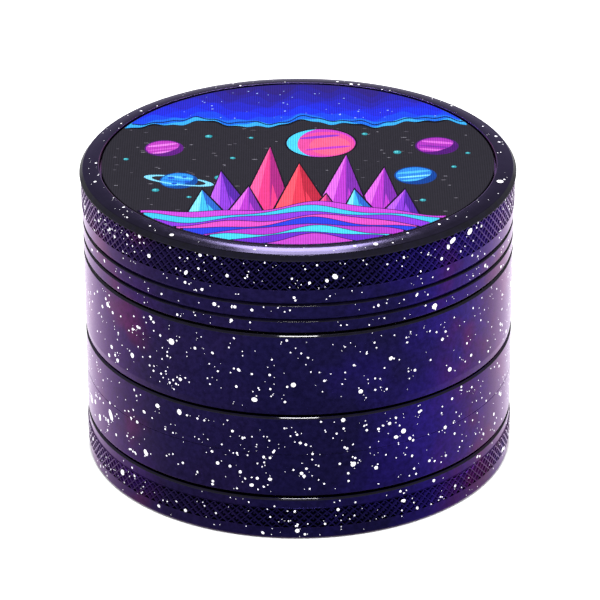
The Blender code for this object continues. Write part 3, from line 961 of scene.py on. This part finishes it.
def make_magnet(node, body):
    """A nickel-plated disc magnet, with the rounded edge that plating needs."""
    low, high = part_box(node)
    radius = high.x / MM
    corners = [
        (1.0, high.z / MM, 0.0),
        (radius, high.z / MM, 0.35),
        (radius, low.z / MM, 0.35),
        (1.0, low.z / MM, 0.0),
    ]
    magnet = plain_turned(node + "_disc", corners, finish_named("nickel_plate"))
    on_frame(magnet, body, "nickel_plate", node)


def make_ring(node, body, slot, width, softness, finish):
    """A plain ring with softened edges, at its frame node's place."""
    low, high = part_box(node)
    outer = high.x / MM
    corners = [
        (outer - width, high.z / MM, softness),
        (outer, high.z / MM, softness),
        (outer, low.z / MM, softness),
        (outer - width, low.z / MM, softness),
    ]
    ring = plain_turned(node + "_turned", corners, finish_named(finish), closed=True, columns=144)
    on_frame(ring, body, slot, node)


def make_screen(sizes):
    """The woven screen. A real one has about 100 wires an inch, which wouldn't show, so this is coarser."""
    low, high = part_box("screen_mesh")
    pitch = sizes.wire_pitch
    reach = high.x - 0.1 * MM
    wave = 0.11 * MM
    middle = (low.z + high.z) / 2
    wires = bpy.data.curves.new("woven_screen", "CURVE")
    wires.dimensions = "3D"
    wires.bevel_depth = 0.12 * MM
    wires.bevel_resolution = 1
    wires.use_fill_caps = True
    count = int(reach / pitch)
    for across in (False, True):
        for number in range(-count, count + 1):
            aside = number * pitch
            half = math.sqrt(reach**2 - aside**2)
            steps = int(2 * half / pitch * 2)
            if steps < 4:
                continue
            spline = wires.splines.new("POLY")
            spline.points.add(steps)
            for i, point in enumerate(spline.points):
                along = -half + 2 * half * i / steps
                lift = wave * math.cos(math.pi * (along / pitch + number)) * (-1 if across else 1)
                spot = (aside, along) if across else (along, aside)
                point.co = (*spot, middle + lift, 1.0)
    wires.materials.append(finish_named("drawn_stainless_wire"))
    screen = new_object("woven_screen", wires)
    on_frame(screen, "storage", "stainless_wire", "screen_mesh")


# Picture


PICTURE_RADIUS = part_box("picture_disc")[1].x / MM
PICTURE_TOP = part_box("picture_disc")[1].z / MM
INK_BASE = PICTURE_TOP - 0.1
INK_STEP = 0.0015
DUST_LAYERS = 3  # the planets and the peaks start above these


class Print:
    """Flat inked shapes, each a little higher than the one that it overprints."""

    def __init__(self):
        self.points = []
        self.faces = []
        self.colours = []
        self.layer = 0

    def shape(self, outline, colour, rise=1):
        """One closed shape of ink, as a very thin plate. The outline goes anticlockwise."""
        self.layer += rise
        level = INK_BASE + INK_STEP * self.layer
        base = INK_BASE - 0.01
        start = len(self.points)
        count = len(outline)
        self.points += [(x, y, level) for x, y in outline]
        self.points += [(x, y, base) for x, y in outline]
        self.faces.append([start + i for i in range(count)])
        self.faces.append([start + count + i for i in reversed(range(count))])
        for i in range(count):
            j = (i + 1) % count
            self.faces.append([start + i, start + count + i, start + count + j, start + j])
        self.colours += [linear(colour)] * (count + 2)

    def blob(self, x, y, width, height, colour, turn=0.0, sides=40, rise=1):
        """An ellipse."""
        outline = []
        for i in range(sides):
            angle = math.tau * i / sides
            spot = Vector((math.cos(angle) * width / 2, math.sin(angle) * height / 2))
            spot.rotate(Matrix.Rotation(turn, 2))
            outline.append((x + spot.x, y + spot.y))
        self.shape(outline, colour, rise)

    def band(self, lower, upper, colour, reach=PICTURE_RADIUS - 0.15, start=None, end=None):
        """Ink between two lines y = lower(x) and y = upper(x), kept inside the sheet."""
        steps = 120
        start = -reach if start is None else start
        end = reach if end is None else end
        below, above = [], []
        for i in range(steps + 1):
            x = start + (end - start) * i / steps
            edge = math.sqrt(max(reach**2 - x * x, 0.0))
            low = max(lower(x), -edge)
            high = min(upper(x), edge)
            if high > low + 0.01:
                below.append((x, low))
                above.append((x, high))
        if len(below) > 2:
            self.shape(below + above[::-1], colour)

    def crescent(self, x, y, radius, thickness, start, end, colour):
        """A shade along one side of a planet, from one angle to another."""
        steps = 16
        outer, inner = [], []
        for i in range(steps + 1):
            share = i / steps
            angle = start + (end - start) * share
            depth = thickness * math.sin(math.pi * share)
            outer.append((x + radius * math.cos(angle), y + radius * math.sin(angle)))
            inner.append((x + (radius - depth) * math.cos(angle), y + (radius - depth) * math.sin(angle)))
        self.shape(outer + inner[-2:0:-1], colour)

    def done(self, name):
        mesh = bpy.data.meshes.new(name)
        mesh.from_pydata((np.array(self.points) * MM).tolist(), [], self.faces)
        inks = mesh.color_attributes.new("ink", "FLOAT_COLOR", "CORNER")
        values = []
        for face, colour in zip(self.faces, self.colours):
            values += [*colour, 1.0] * len(face)
        inks.data.foreach_set("color", values)
        mesh.materials.append(finish_named("ink_behind_lens_sheet"))
        made = new_object(name, mesh)
        on_frame(made, "lid", "printed_sheet")
        self.points, self.faces, self.colours = [], [], []


def ripple(base, *waves):
    """A wavy line y(x) from a level and (height, length, offset) waves."""

    def line(x):
        return base + sum(
            height * math.sin(math.tau * (x + offset) / length) for height, length, offset in waves
        )

    return line


def raised(line, amount):
    """The same line, higher by an amount."""
    return lambda x: line(x) + amount


def ring_arc(art, x, y, radius, tilt, start, end, colour):
    """Half of a planet's ring, seen nearly edge on."""
    steps = 24
    outline = []
    for size, first, last in ((1.0, start, end), (0.78, end, start)):
        for i in range(steps + 1):
            angle = first + (last - first) * i / steps
            spot = Vector((math.cos(angle) * radius * 2.0 * size, math.sin(angle) * radius * 0.55 * size))
            spot.rotate(Matrix.Rotation(tilt, 2))
            outline.append((x + spot.x, y + spot.y))
    art.shape(outline, colour)


def planet(art, x, y, radius, colours, tilt, ringed=False):
    """A small banded planet. Its colours are edge, body, band, light and ring."""
    edge, body, band, light, ring = colours
    art.layer = DUST_LAYERS
    if ringed:
        ring_arc(art, x, y, radius, tilt, 0.0, math.pi, ring)
    art.blob(x, y, radius * 2.1, radius * 2.1, edge)
    art.blob(x, y, radius * 1.94, radius * 1.94, body)
    for shift, size, colour in ((0.42, 0.26, band), (-0.1, 0.18, light), (-0.5, 0.22, band)):
        width = 2 * math.sqrt(1 - shift**2) * 0.92
        off = Vector((0.0, shift * radius))
        off.rotate(Matrix.Rotation(tilt, 2))
        art.blob(x + off.x, y + off.y, radius * width, radius * size, colour, turn=tilt)
    art.crescent(x, y, radius * 0.97, radius * 0.45, -2.4, 0.6, edge)
    if ringed:
        ring_arc(art, x, y, radius, tilt, math.pi, math.tau, ring)


def peak(art, x, base, width, height, lean, colours):
    """A faceted crystal peak with an outline, a lit face, a middle face and a shaded face."""
    dark, light, middle, shade = colours
    top = (x + lean, base + height)
    left, right = x - width / 2, x + width / 2
    rim = 0.35
    art.shape([(left - rim, base), (right + rim, base), (top[0], top[1] + rim * 2)], dark)
    ridge = x + width * 0.08
    fold = x - width * 0.2
    art.shape([(left, base), (fold, base), top], light)
    art.shape([(fold, base), (ridge, base), top], middle)
    art.shape([(ridge, base), (right, base), top], shade)
    waist = base + height * 0.45
    art.shape([(ridge, base), (ridge + width * 0.22, base), (x + lean * 0.5 + width * 0.08, waist)], middle)


def print_sky(art):
    """Blue cloud bands at the far side, from indigo at the edge to bright blue where they end."""
    edge = ripple(13.4, (1.0, 17.0, 2.0), (0.5, 7.3, 1.0), (0.25, 3.1, 0.4))
    inks = "#0a0a14 #36a6ec #1c6ce8 #1a44e6 #1c30e2 #2029d2 #2425bd #2622a4 #281f90 #2b1e7c".split()
    far_edge = ripple(PICTURE_RADIUS)
    lift = 0.0
    for number, ink in enumerate(inks):
        wave = ripple(0.0, (0.35 * math.sqrt(number), 11.0 - number * 0.5, number * 3.7))

        def line(x):
            return edge(x) - 0.3 + lift + wave(x)

        art.band(line, far_edge, ink)
        lift += 0.3 if number == 0 else 0.55 + number * 0.22
    inset = ripple(0.95, (0.3, 9.0, 1.0), (0.15, 4.1, 0.0))

    def contour(x):
        return edge(x) + inset(x)

    art.band(contour, raised(contour, 0.34), "#0d1a44")
    art.layer += 1
    chance = random.Random(11)
    for _ in range(60):
        x = chance.uniform(-22, 22)
        y = chance.uniform(edge(x) + 2.0, 26.0)
        if math.hypot(x, y) < PICTURE_RADIUS - 1.0:
            size = chance.uniform(0.12, 0.32)
            art.blob(x, y, size, size, "#9fb8f6", sides=8, rise=0)


def print_dust(art):
    """Short grey strokes and small teal stars over the dark part."""
    art.layer = 1
    chance = random.Random(5)
    for _ in range(170):
        angle = chance.uniform(0, math.tau)
        reach = PICTURE_RADIUS * math.sqrt(chance.uniform(0.02, 0.93))
        x, y = reach * math.cos(angle), reach * math.sin(angle)
        if y < 12.0:
            length = chance.uniform(0.35, 0.9)
            grey = chance.choice(("#75717c", "#8d8a96", "#5f5b68"))
            art.blob(x, y, length, 0.16, grey, sides=8, rise=0)
    stars = (
        (-13.0, 9.0, 1.1),
        (-9.4, 1.2, 0.8),
        (-6.8, 8.4, 0.7),
        (-11.2, -5.6, 1.5),
        (-20.2, -9.8, 1.1),
        (14.4, 3.0, 1.2),
        (9.8, 9.6, 0.9),
        (22.4, -2.2, 0.8),
        (13.0, -9.8, 1.1),
        (17.6, -13.6, 0.9),
        (-15.4, -12.2, 0.7),
        (24.6, 2.6, 0.7),
        (-24.8, 1.0, 0.8),
    )
    for x, y, size in stars:
        art.layer = 1
        art.blob(x, y, size, size, "#2b8f9e", sides=14)
        art.blob(x - size * 0.1, y + size * 0.1, size * 0.5, size * 0.5, "#5cc6cf", sides=12)


def print_planets(art):
    planet(art, -19.4, 4.8, 2.7, ("#5b1a7c", "#b43bb8", "#e07ae0", "#cf58cf", "#d77ae8"), 0.25)
    planet(art, -17.0, -6.6, 2.6, ("#114a9c", "#2f8fe8", "#63c2f4", "#2469d2", "#7fd4f6"), -0.3, ringed=True)
    for x, y, size in ((-18.1, -5.6, 1.0), (-16.2, -5.4, 0.7), (-17.6, -7.6, 0.8), (-15.8, -7.0, 0.9)):
        art.blob(x, y, size, size * 0.8, "#1c56cc", sides=14)
    planet(art, 20.2, 5.2, 3.0, ("#4c1470", "#a433b4", "#d765d8", "#7d2aa4", "#d77ae8"), -0.2)
    planet(art, 16.8, -5.2, 2.9, ("#0f3f92", "#2d84e2", "#4fb8f2", "#7fd9f5", "#7fd4f6"), 0.2)


def print_peaks(art):
    """A ringed pink planet behind faceted crystal peaks, in the middle of the sheet."""
    art.layer = DUST_LAYERS
    art.blob(3.4, 6.4, 10.6, 10.6, "#140f1e")
    art.blob(3.4, 6.4, 10.0, 10.0, "#c23fbe")
    art.blob(4.0, 6.0, 8.6, 8.8, "#e04c9c")
    art.blob(4.7, 5.4, 6.0, 6.6, "#f0608c")
    art.crescent(3.4, 6.4, 5.0, 1.6, 1.7, 4.4, "#49c9ee")
    art.blob(3.2, 8.6, 6.0, 0.9, "#8f35c8", turn=0.2)
    art.blob(4.4, 4.6, 6.8, 0.8, "#b83ac4", turn=0.2)
    pink = ("#160f20", "#f25c9c", "#e63c86", "#a3267c")
    red = ("#160f20", "#f4566a", "#e23a55", "#b3263f")
    violet = ("#160f20", "#b45ce6", "#8a3bd2", "#5424a0")
    magenta = ("#160f20", "#d968e2", "#b53ac8", "#7a2aa6")
    cyan = ("#160f20", "#7fe0f4", "#3fb6e6", "#2a63c4")
    base = -18.5
    peaks = (
        (-9.6, 7.4, 15.0, -1.4, violet),
        (11.2, 7.6, 16.0, 1.2, magenta),
        (-4.6, 8.0, 23.5, 0.6, pink),
        (6.0, 8.2, 20.5, 1.0, magenta),
        (0.6, 8.6, 17.5, -0.4, red),
        (-12.8, 5.6, 8.6, -0.8, cyan),
        (14.2, 5.4, 8.4, 1.0, violet),
        (-7.4, 5.4, 9.6, 0.4, magenta),
        (8.6, 5.0, 8.4, -0.6, cyan),
        (3.6, 4.6, 6.8, 0.4, pink),
    )
    for x, width, height, lean, colours in peaks:
        peak(art, x, base, width, height, lean, colours)


def print_waves(art):
    """Flowing bands across the near side, each with a thin dark edge."""
    inks = "#c248d4 #3fc0ea #8a38d8 #d94fc0 #2b3fdc #b03ac8 #46cdea #6a2bc8 #c044c8".split()
    near_edge = ripple(-PICTURE_RADIUS)
    line = ripple(-15.8, (1.1, 30.0, 4.0), (0.45, 12.0, 1.0))
    for number, ink in enumerate(inks):
        bend = ripple(-1.35 * number, (0.5, 21.0 - number, number * 5.0))

        def upper(x):
            return line(x) + bend(x) - 0.004 * x * x

        art.band(near_edge, raised(upper, 0.14), "#1a1030")
        art.band(near_edge, raised(upper, -0.06), ink)


def make_picture():
    """The lens sheet let into the lid, and the inks that show through it."""
    low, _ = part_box("picture_disc")
    corners = [
        (1.0, PICTURE_TOP - 0.1, 0.0),
        (PICTURE_RADIUS, PICTURE_TOP - 0.1, 0.06),
        (PICTURE_RADIUS, low.z / MM, 0.1),
        (1.0, low.z / MM, 0.0),
    ]
    sheet = plain_turned("picture_sheet", corners, finish_named("lens_sheet"), columns=180)
    on_frame(sheet, "lid", "printed_sheet", "picture_disc")
    art = Print()
    prints = (
        ("printed_dust", print_dust),
        ("printed_sky", print_sky),
        ("printed_planets", print_planets),
        ("printed_peaks", print_peaks),
        ("printed_waves", print_waves),
    )
    for name, draw in prints:
        draw(art)
        art.done(name)


# Droplets


def droplet(points, faces, place, normal, along, width, length, height):
    """A low dome with eight sides on the surface, its base just under it."""
    across = normal.cross(along)
    start = len(points)
    sides = 8
    for size, lift in ((1.0, -0.03), (0.97, height * 0.4), (0.6, height * 0.9)):
        for i in range(sides):
            angle = math.tau * i / sides
            forth = along * (math.cos(angle) * length / 2 * size)
            aside = across * (math.sin(angle) * width / 2 * size)
            points.append(place + (forth + aside) + normal * lift)
    points.append(place + normal * height)
    top = start + 3 * sides
    for i in range(sides):
        j = (i + 1) % sides
        for low in (start, start + sides):
            faces.append((low + i, low + j, low + sides + j, low + sides + i))
        faces.append((start + 2 * sides + i, start + 2 * sides + j, top))
    faces.append([start + i for i in reversed(range(sides))])


def speckle(name, body, flats, sizes, seed):
    """Paint droplets on a piece's outer flats, each flat a pair of (radius, level) ends.

    Most fall alone. The rest fall in clusters, whose later droplets are smaller and lie near the first.
    """
    smallest, largest = 0.11, 1.0
    alone = 0.82
    scatter = 0.9
    chance = random.Random(seed)
    points, faces = [], []
    for (radius_a, level_a), (radius_b, level_b) in flats:
        run = Vector((radius_b - radius_a, level_b - level_a))
        area = math.tau * (radius_a + radius_b) / 2 * run.length
        wanted = area * sizes.droplets_per_square_mm
        while wanted > 0:
            angle = chance.uniform(0, math.tau)
            share = chance.random()
            cluster = 1 if chance.random() < alone else chance.randint(2, 5)
            for member in range(cluster):
                wanted -= 1
                diameter = sizes.droplet_median / MM * math.exp(chance.gauss(0, 0.6))
                diameter = min(max(diameter, smallest), largest)
                if member:
                    diameter *= 0.7
                stretch = 1.0 + max(0.0, chance.gauss(0, 0.3))
                turn = angle + (chance.gauss(0, scatter) / radius_a if member else 0.0)
                step = share + (chance.gauss(0, scatter) / run.length if member else 0.0)
                margin = diameter * stretch / 2 / run.length
                if not margin < step < 1 - margin:
                    continue
                radius = radius_a + run.x * step
                level = level_a + run.y * step
                outward = Vector((math.cos(turn), math.sin(turn), 0.0))
                down = (outward * run.x + Vector((0.0, 0.0, run.y))).normalized()
                side = Vector((-math.sin(turn), math.cos(turn), 0.0))
                normal = down.cross(side)
                heading = chance.uniform(0, math.pi)
                along = down * math.cos(heading) + side * math.sin(heading)
                place = outward * radius + Vector((0.0, 0.0, level))
                length = diameter * stretch
                height = 0.03 + 0.06 * diameter
                droplet(points, faces, place, normal, along, diameter, length, height)
    mesh = bpy.data.meshes.new(name)
    mesh.from_pydata([tuple(point * MM) for point in points], [], faces)
    made = new_piece(name, mesh, [finish_named("thrown_acrylic_paint")])
    on_frame(made, body, "speckled_enamel")


def make_droplets(sizes):
    """Droplets on each shell, in an object of their own that moves with it."""
    edge = 0.35
    under = 0.5
    knurled = body_radius + 0.1
    upper, lower = groove_levels
    lid_flats = [
        ((RECESS_RADIUS + 0.1, lid_top - 0.06), (RECESS_RADIUS + 2.0, lid_top - 0.25)),
        ((knurled, lid_knurl[0]), (knurled, lid_knurl[1])),
        ((body_radius, lid_bottom + 6.6), (body_radius, upper + edge)),
        ((body_radius, upper - under), (body_radius, lower + edge)),
        ((body_radius, lower - under), (body_radius, lid_bottom + edge)),
    ]
    chamber_flats = [((body_radius, chamber_top - edge), (body_radius, chamber_bottom + CHAMBER_RELIEF))]
    storage_flats = [((body_radius, storage_top - edge), (body_radius, storage_bottom + edge))]
    catcher_flats = [
        ((body_radius, catcher_top - edge), (body_radius, 5.15)),
        ((knurled, 5.0), (knurled, 2.0)),
        ((body_radius, 1.9), (body_radius, 0.45)),
    ]
    speckle("lid_droplets", "lid", lid_flats, sizes, 1)
    speckle("chamber_droplets", "chamber", chamber_flats, sizes, 2)
    speckle("storage_droplets", "storage", storage_flats, sizes, 3)
    speckle("catcher_droplets", "catcher", catcher_flats, sizes, 4)


# Stage


def add_softbox(name, azimuth, elevation, distance, size, power):
    """A rectangular lamp that faces the grinder, in metres and watts. Azimuth 0 is the camera's side."""
    aim = Vector((0.0, 0.0, 0.025))
    a, e = math.radians(azimuth), math.radians(elevation)
    direction = Vector((math.sin(a) * math.cos(e), -math.cos(a) * math.cos(e), math.sin(e)))
    lamp = bpy.data.lights.new(name, "AREA")
    lamp.shape = "RECTANGLE"
    lamp.size, lamp.size_y = size
    lamp.energy = power
    made = new_object(name, lamp)
    made.location = direction * distance + aim
    made.rotation_mode = "QUATERNION"
    made.rotation_quaternion = (-direction).to_track_quat("-Z", "Y")


def make_stage():
    """A white floor, a white surround, soft lamps and the camera."""
    scene = bpy.context.scene
    scene.view_settings.view_transform = "Standard"

    bpy.ops.mesh.primitive_plane_add(size=8.0, location=(0.0, 0.0, 0.0))
    floor = bpy.context.object
    floor.name = "floor"
    paper, tree, shader, place = start_material("matt_white_paper", Roughness=0.9, Specular_IOR_Level=0.1)
    tone = add(tree, "ShaderNodeTexNoise", {"Vector": place, "Scale": 40.0, "Detail": 2.0})
    colour = add(
        tree,
        "ShaderNodeValToRGB",
        {0: tone.outputs[0]},
        stops=[(0.0, linear("#fbfbfb")), (1.0, linear("#ffffff"))],
    )
    tree.links.new(colour.outputs[0], shader.inputs["Base Color"])
    floor.data.materials.append(paper)

    world = bpy.data.worlds.new("white_surround")
    scene.world = world
    world.use_nodes = True
    # White, and dimmer overhead than at the sides, so that edges that face up stay dark
    tree = world.node_tree
    upward = add(tree, "ShaderNodeTexCoord").outputs["Generated"]
    height = add(tree, "ShaderNodeSeparateXYZ", {0: upward}).outputs["Z"]
    strength = add(
        tree,
        "ShaderNodeMapRange",
        {0: height, 1: 0.5, 2: 0.9, 3: 1.2, 4: 0.8},
        interpolation_type="SMOOTHSTEP",
    )
    background = tree.nodes["Background"]
    background.inputs["Color"].default_value = (1.0, 1.0, 1.0, 1.0)
    tree.links.new(strength.outputs[0], background.inputs["Strength"])

    add_softbox("front_strip", 0.0, 61.9, 1.0, (0.24, 0.07), 8.0)
    add_softbox("back_strip", 180.0, 43.0, 1.2, (0.17, 0.26), 8.0)

    camera = bpy.data.cameras.new("camera")
    camera.sensor_width = 36.0
    camera.lens = 231.9
    camera.shift_x = 0.0024
    camera.shift_y = 0.0158
    made = new_object("camera", camera)
    elevation = math.radians(26.35)
    distance = 0.5674
    back = Vector((0.0, -math.cos(elevation), math.sin(elevation)))
    made.location = Vector((0.0, 0.0, 0.021)) + back * distance
    made.rotation_mode = "QUATERNION"
    roll = Quaternion((0.0, 0.0, 1.0), math.radians(-0.28))
    made.rotation_quaternion = (-back).to_track_quat("-Z", "Y") @ roll
    scene.camera = made


# Operators


class GRINDER_OT_finishes(bpy.types.Operator):
    """Make the grinder's finishes"""

    bl_idname = "grinder.finishes"
    bl_label = "Finishes"

    def execute(self, context):
        colours = context.scene.grinder_colours
        night_sky_enamel(colours)
        rim_enamel(colours)
        edge_enamel()
        black_anodised(colours)
        thrown_droplets(colours)
        # Bright plating over a ground magnet, bare aluminium with feed lines, and grey drawn wire
        metal("nickel_plate", "#cfccc6", 0.14, 0.5)
        metal("turned_aluminium", "#d2d3d6", 0.3, 0.2)
        metal("drawn_stainless_wire", "#b4b4b2", 0.3, 0.4)
        moulded_nylon()
        printed_sheet("lens_sheet", tuple(colours.sheet))
        printed_sheet("ink_behind_lens_sheet", tuple(colours.sheet), "ink")
        return {"FINISHED"}


class GRINDER_OT_catcher(bpy.types.Operator):
    """Make the catcher"""

    bl_idname = "grinder.catcher"
    bl_label = "Catcher"

    def execute(self, context):
        make_catcher(context.scene.grinder_sizes)
        return {"FINISHED"}


class GRINDER_OT_storage_chamber(bpy.types.Operator):
    """Make the storage chamber"""

    bl_idname = "grinder.storage_chamber"
    bl_label = "Storage chamber"

    def execute(self, context):
        make_storage_chamber(context.scene.grinder_sizes)
        return {"FINISHED"}


class GRINDER_OT_screen(bpy.types.Operator):
    """Make the woven screen and the ring that holds it down"""

    bl_idname = "grinder.screen"
    bl_label = "Screen and ring"

    def execute(self, context):
        make_screen(context.scene.grinder_sizes)
        make_ring("screen_ring", "screen_ring", "bright_aluminium", 1.8, 0.2, "turned_aluminium")
        return {"FINISHED"}


class GRINDER_OT_grinding_chamber(bpy.types.Operator):
    """Make the grinding chamber"""

    bl_idname = "grinder.grinding_chamber"
    bl_label = "Grinding chamber"

    def execute(self, context):
        make_grinding_chamber(context.scene.grinder_sizes)
        return {"FINISHED"}


class GRINDER_OT_magnets(bpy.types.Operator):
    """Make the two magnets"""

    bl_idname = "grinder.magnets"
    bl_label = "Magnets"

    def execute(self, context):
        make_magnet("chamber_magnet", "chamber_magnet")
        make_magnet("lid_magnet", "lid")
        return {"FINISHED"}


class GRINDER_OT_slip_ring(bpy.types.Operator):
    """Make the nylon slip ring"""

    bl_idname = "grinder.slip_ring"
    bl_label = "Slip ring"

    def execute(self, context):
        make_ring("slip_ring", "slip_ring", "nylon", 0.9, 0.2, "moulded_nylon")
        return {"FINISHED"}


class GRINDER_OT_lid(bpy.types.Operator):
    """Make the lid"""

    bl_idname = "grinder.lid"
    bl_label = "Lid"

    def execute(self, context):
        make_lid(context.scene.grinder_sizes)
        return {"FINISHED"}


class GRINDER_OT_picture(bpy.types.Operator):
    """Make the printed sheet"""

    bl_idname = "grinder.picture"
    bl_label = "Picture"

    def execute(self, context):
        make_picture()
        return {"FINISHED"}


class GRINDER_OT_droplets(bpy.types.Operator):
    """Throw the paint droplets"""

    bl_idname = "grinder.droplets"
    bl_label = "Droplets"

    def execute(self, context):
        make_droplets(context.scene.grinder_sizes)
        return {"FINISHED"}


class GRINDER_OT_stage(bpy.types.Operator):
    """Make the floor, the lamps and the camera"""

    bl_idname = "grinder.stage"
    bl_label = "Stage"

    def execute(self, context):
        make_stage()
        return {"FINISHED"}


OPERATORS = (
    GRINDER_OT_finishes,
    GRINDER_OT_catcher,
    GRINDER_OT_storage_chamber,
    GRINDER_OT_screen,
    GRINDER_OT_grinding_chamber,
    GRINDER_OT_magnets,
    GRINDER_OT_slip_ring,
    GRINDER_OT_lid,
    GRINDER_OT_picture,
    GRINDER_OT_droplets,
    GRINDER_OT_stage,
)


class GRINDER_PT_panel(bpy.types.Panel):
    """Lists the grinder's pieces in the order that they are made"""

    bl_idname = "GRINDER_PT_panel"
    bl_label = "Herb Grinder"
    bl_space_type = "VIEW_3D"
    bl_region_type = "UI"
    bl_category = "Grinder"

    def draw(self, context):
        column = self.layout.column()
        for operator in OPERATORS:
            column.operator(operator.bl_idname)
        for group in (context.scene.grinder_sizes, context.scene.grinder_colours):
            for name in group.bl_rna.properties.keys():
                if name not in ("rna_type", "name"):
                    column.prop(group, name)


def register():
    for made in (GrinderSizes, GrinderColours, *OPERATORS, GRINDER_PT_panel):
        bpy.utils.register_class(made)
    bpy.types.Scene.grinder_sizes = PointerProperty(type=GrinderSizes)
    bpy.types.Scene.grinder_colours = PointerProperty(type=GrinderColours)


def unregister():
    del bpy.types.Scene.grinder_sizes
    del bpy.types.Scene.grinder_colours
    for made in (GRINDER_PT_panel, *reversed(OPERATORS), GrinderColours, GrinderSizes):
        bpy.utils.unregister_class(made)


def main():
    register()
    for operator in OPERATORS:
        group, name = operator.bl_idname.split(".")
        getattr(getattr(bpy.ops, group), name)()


if __name__ == "__main__":
    main()
